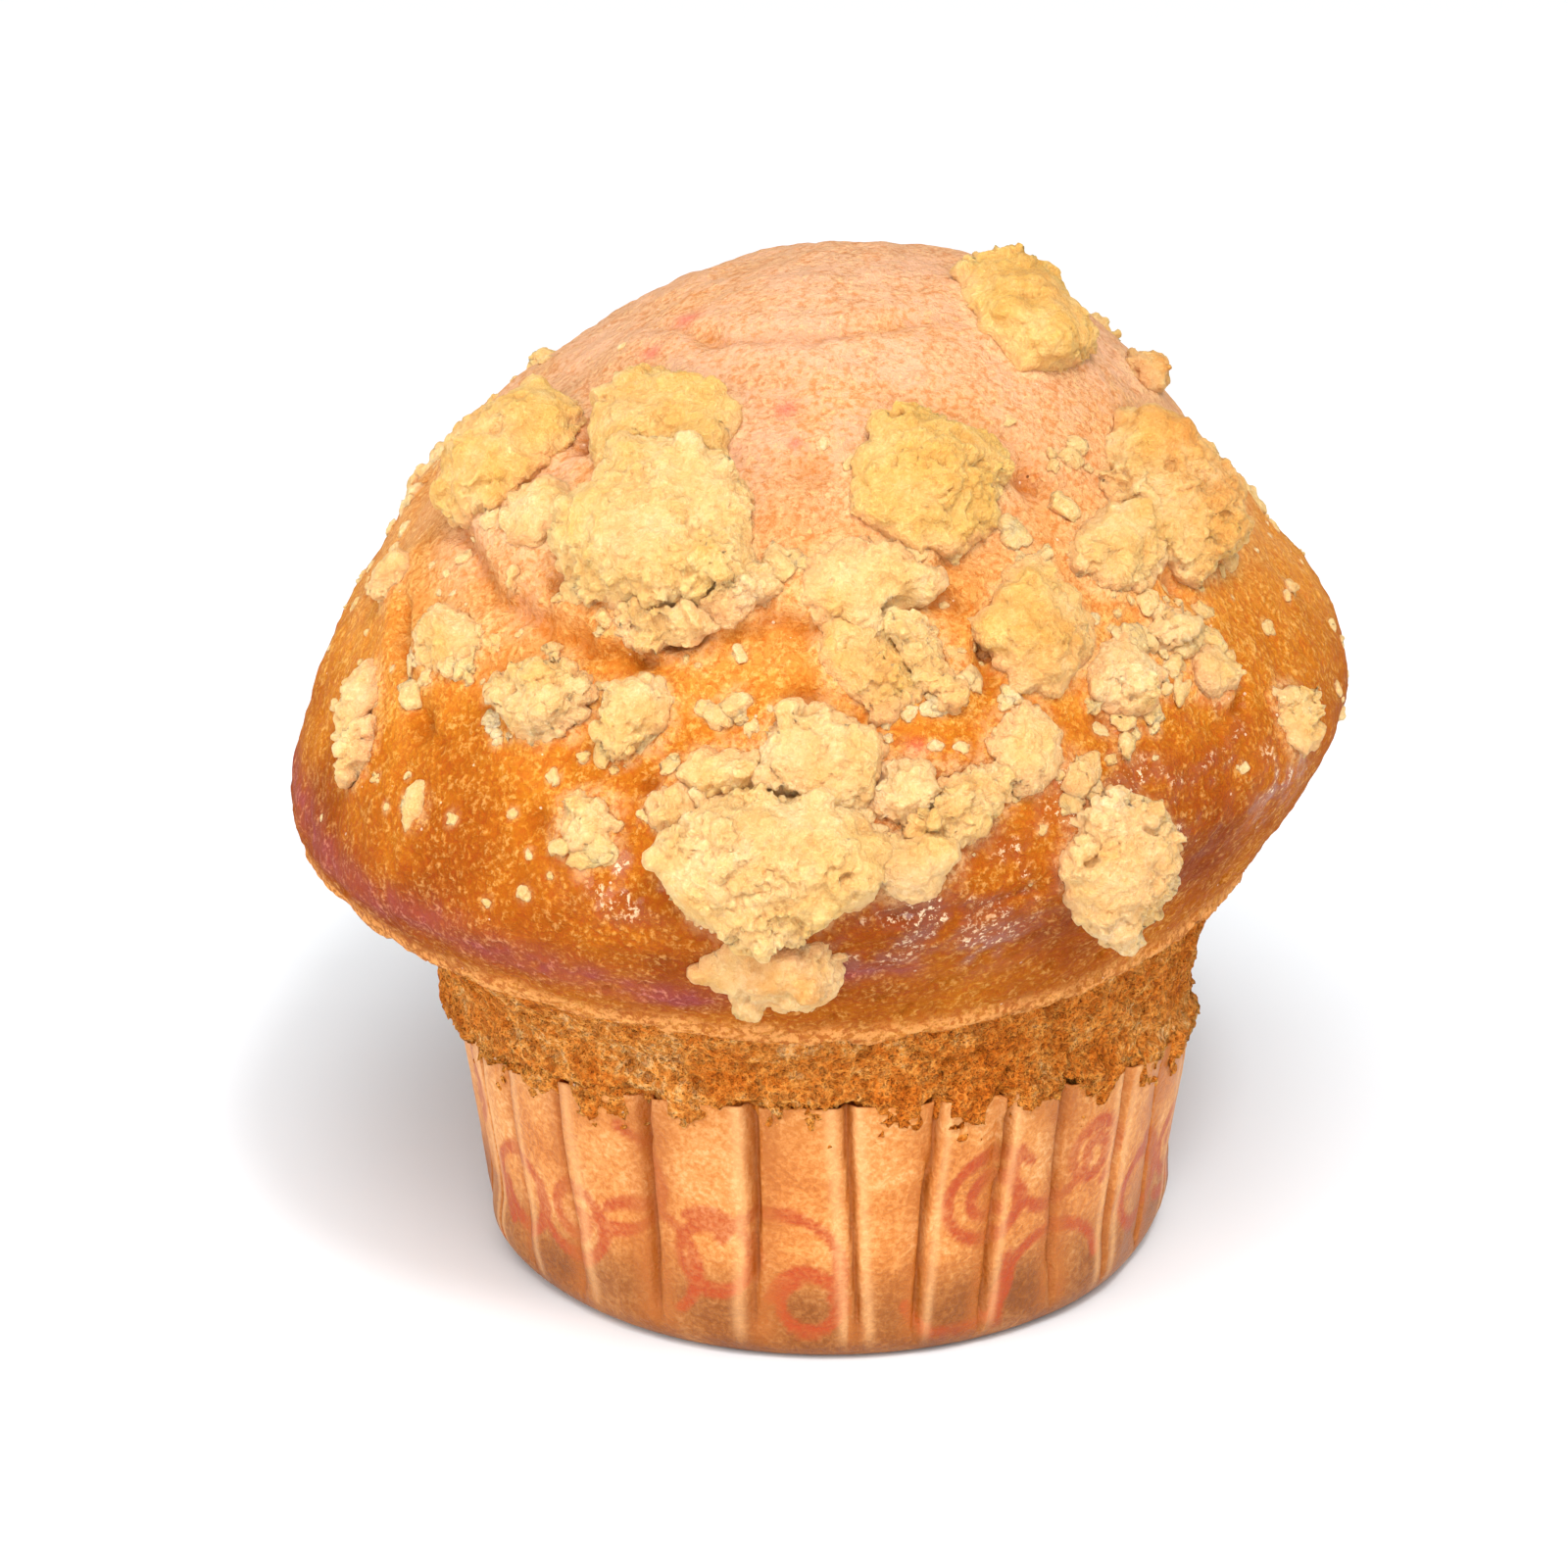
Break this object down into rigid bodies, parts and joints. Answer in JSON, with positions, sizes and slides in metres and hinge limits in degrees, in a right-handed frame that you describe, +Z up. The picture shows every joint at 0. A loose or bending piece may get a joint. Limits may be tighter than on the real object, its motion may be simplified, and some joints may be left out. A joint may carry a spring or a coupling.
{
  "type": "crumble-topped muffin",
  "caption": "Domed muffin with a spreading crown and a streusel crumble top, baked in a pleated paper case that it stands in.",
  "frame": {"origin": "middle of the paper case's foot, on the surface it stands on", "axes": "+Z up; -Y towards the side with the largest crumb on the rim; the foot faces -Z"},
  "size_m": [0.0836, 0.0909, 0.0823],
  "materials": {
    "cake_crust": "golden-brown baked crust with a pale sugary bloom on top, coarse open sponge below the rim",
    "crumble": "dry, granular pale yellow crumble",
    "case_paper": "greasy, slightly translucent baking paper with an orange scroll print"
  },
  "bodies": {
    "root": {"crumb_back_1": "crumble", "crumb_back_10": "crumble", "crumb_back_11": "crumble", "crumb_back_12": "crumble", "crumb_back_13": "crumble", "crumb_back_14": "crumble", "crumb_back_15": "crumble", "crumb_back_16": "crumble", "crumb_back_2": "crumble", "crumb_back_3": "crumble", "crumb_back_4": "crumble", "crumb_back_5": "crumble", "crumb_back_6": "crumble", "crumb_back_7": "crumble", "crumb_back_8": "crumble", "crumb_back_9": "crumble", "crumb_front_1": "crumble", "crumb_front_10": "crumble", "crumb_front_11": "crumble", "crumb_front_12": "crumble", "crumb_front_13": "crumble", "crumb_front_2": "crumble", "crumb_front_3": "crumble", "crumb_front_4": "crumble", "crumb_front_5": "crumble", "crumb_front_6": "crumble", "crumb_front_7": "crumble", "crumb_front_8": "crumble", "crumb_front_9": "crumble", "crumb_left_1": "crumble", "crumb_left_10": "crumble", "crumb_left_11": "crumble", "crumb_left_2": "crumble", "crumb_left_3": "crumble", "crumb_left_4": "crumble", "crumb_left_5": "crumble", "crumb_left_6": "crumble", "crumb_left_7": "crumble", "crumb_left_8": "crumble", "crumb_left_9": "crumble", "crumb_right_1": "crumble", "crumb_right_10": "crumble", "crumb_right_11": "crumble", "crumb_right_12": "crumble", "crumb_right_2": "crumble", "crumb_right_3": "crumble", "crumb_right_4": "crumble", "crumb_right_5": "crumble", "crumb_right_6": "crumble", "crumb_right_7": "crumble", "crumb_right_8": "crumble", "crumb_right_9": "crumble", "muffin": "cake_crust", "paper_case": "case_paper"}
  },
  "joints": []
}
